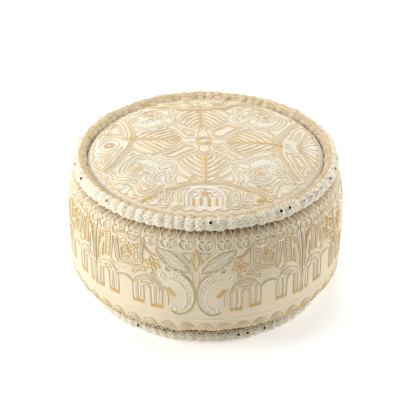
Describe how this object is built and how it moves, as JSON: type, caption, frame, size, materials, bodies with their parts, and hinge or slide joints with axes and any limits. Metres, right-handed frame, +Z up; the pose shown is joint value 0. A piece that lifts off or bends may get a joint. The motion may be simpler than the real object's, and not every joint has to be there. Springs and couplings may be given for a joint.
{
  "type": "floor pouf",
  "caption": "Round drum-shaped floor pouf: embroidered cotton cover with thick rolled edges, zipped base, calico liner, wadding and a firm core.",
  "frame": {"origin": "middle of the footprint, on the floor under the bottom roll", "axes": "+Z up through the crown; the zip across the base runs along X and closes towards +X; the side seam is at +Y, the back"},
  "size_m": [0.554, 0.554, 0.3048],
  "materials": {
    "cover_cotton": "matte",
    "roll_cotton": "matte",
    "base_cotton": "matte",
    "tape_cotton": "matte",
    "mustard_thread": "matte",
    "white_thread": "matte",
    "mirror_glass": "polished",
    "zip_nylon": "satin",
    "zip_metal": "satin",
    "liner_calico": "matte",
    "wadding": "matte",
    "core_foam": "matte"
  },
  "bodies": {
    "pouf": {"top_panel": "cover_cotton", "side_band": "cover_cotton", "side_seam_tape": "tape_cotton", "side_seam_stitches": "white_thread", "base_panel_front": "base_cotton", "base_panel_back": "base_cotton", "top_roll_cover": "roll_cotton", "top_roll_wadding": "wadding", "top_roll_ties": "white_thread", "top_seam_stitches": "white_thread", "bottom_roll_cover": "roll_cotton", "bottom_roll_wadding": "wadding", "bottom_roll_ties": "white_thread", "bottom_seam_stitches": "white_thread", "top_mirrors": "mirror_glass", "bottom_mirrors": "mirror_glass", "seat_embroidery": "mustard_thread", "side_embroidery": "mustard_thread", "zip_tape_front": "tape_cotton", "zip_tape_back": "tape_cotton", "zip_coil_front": "zip_nylon", "zip_coil_back": "zip_nylon", "zip_tape_stitches": "white_thread", "zip_end_stops": "zip_metal", "zip_bottom_stop": "zip_metal", "liner_top": "liner_calico", "liner_side": "liner_calico", "liner_base": "liner_calico", "top_wadding_pad": "wadding", "side_wadding_wrap": "wadding", "base_wadding_pad": "wadding", "core_block": "core_foam"},
    "zip_slider": {"zip_slider": "zip_metal"},
    "zip_pull": {"zip_pull": "zip_metal"}
  },
  "joints": [
    {"name": "zip_slide", "type": "slide", "parent": "pouf", "child": "zip_slider", "axis": [-1, 0, 0], "range_m": [0, 0.3476]},
    {"name": "pull_swing", "type": "hinge", "parent": "zip_slider", "child": "zip_pull", "pos_m": [0.17382, 0, 0.0044], "axis": [0, -1, 0], "range_deg": [0, 180]}
  ]
}
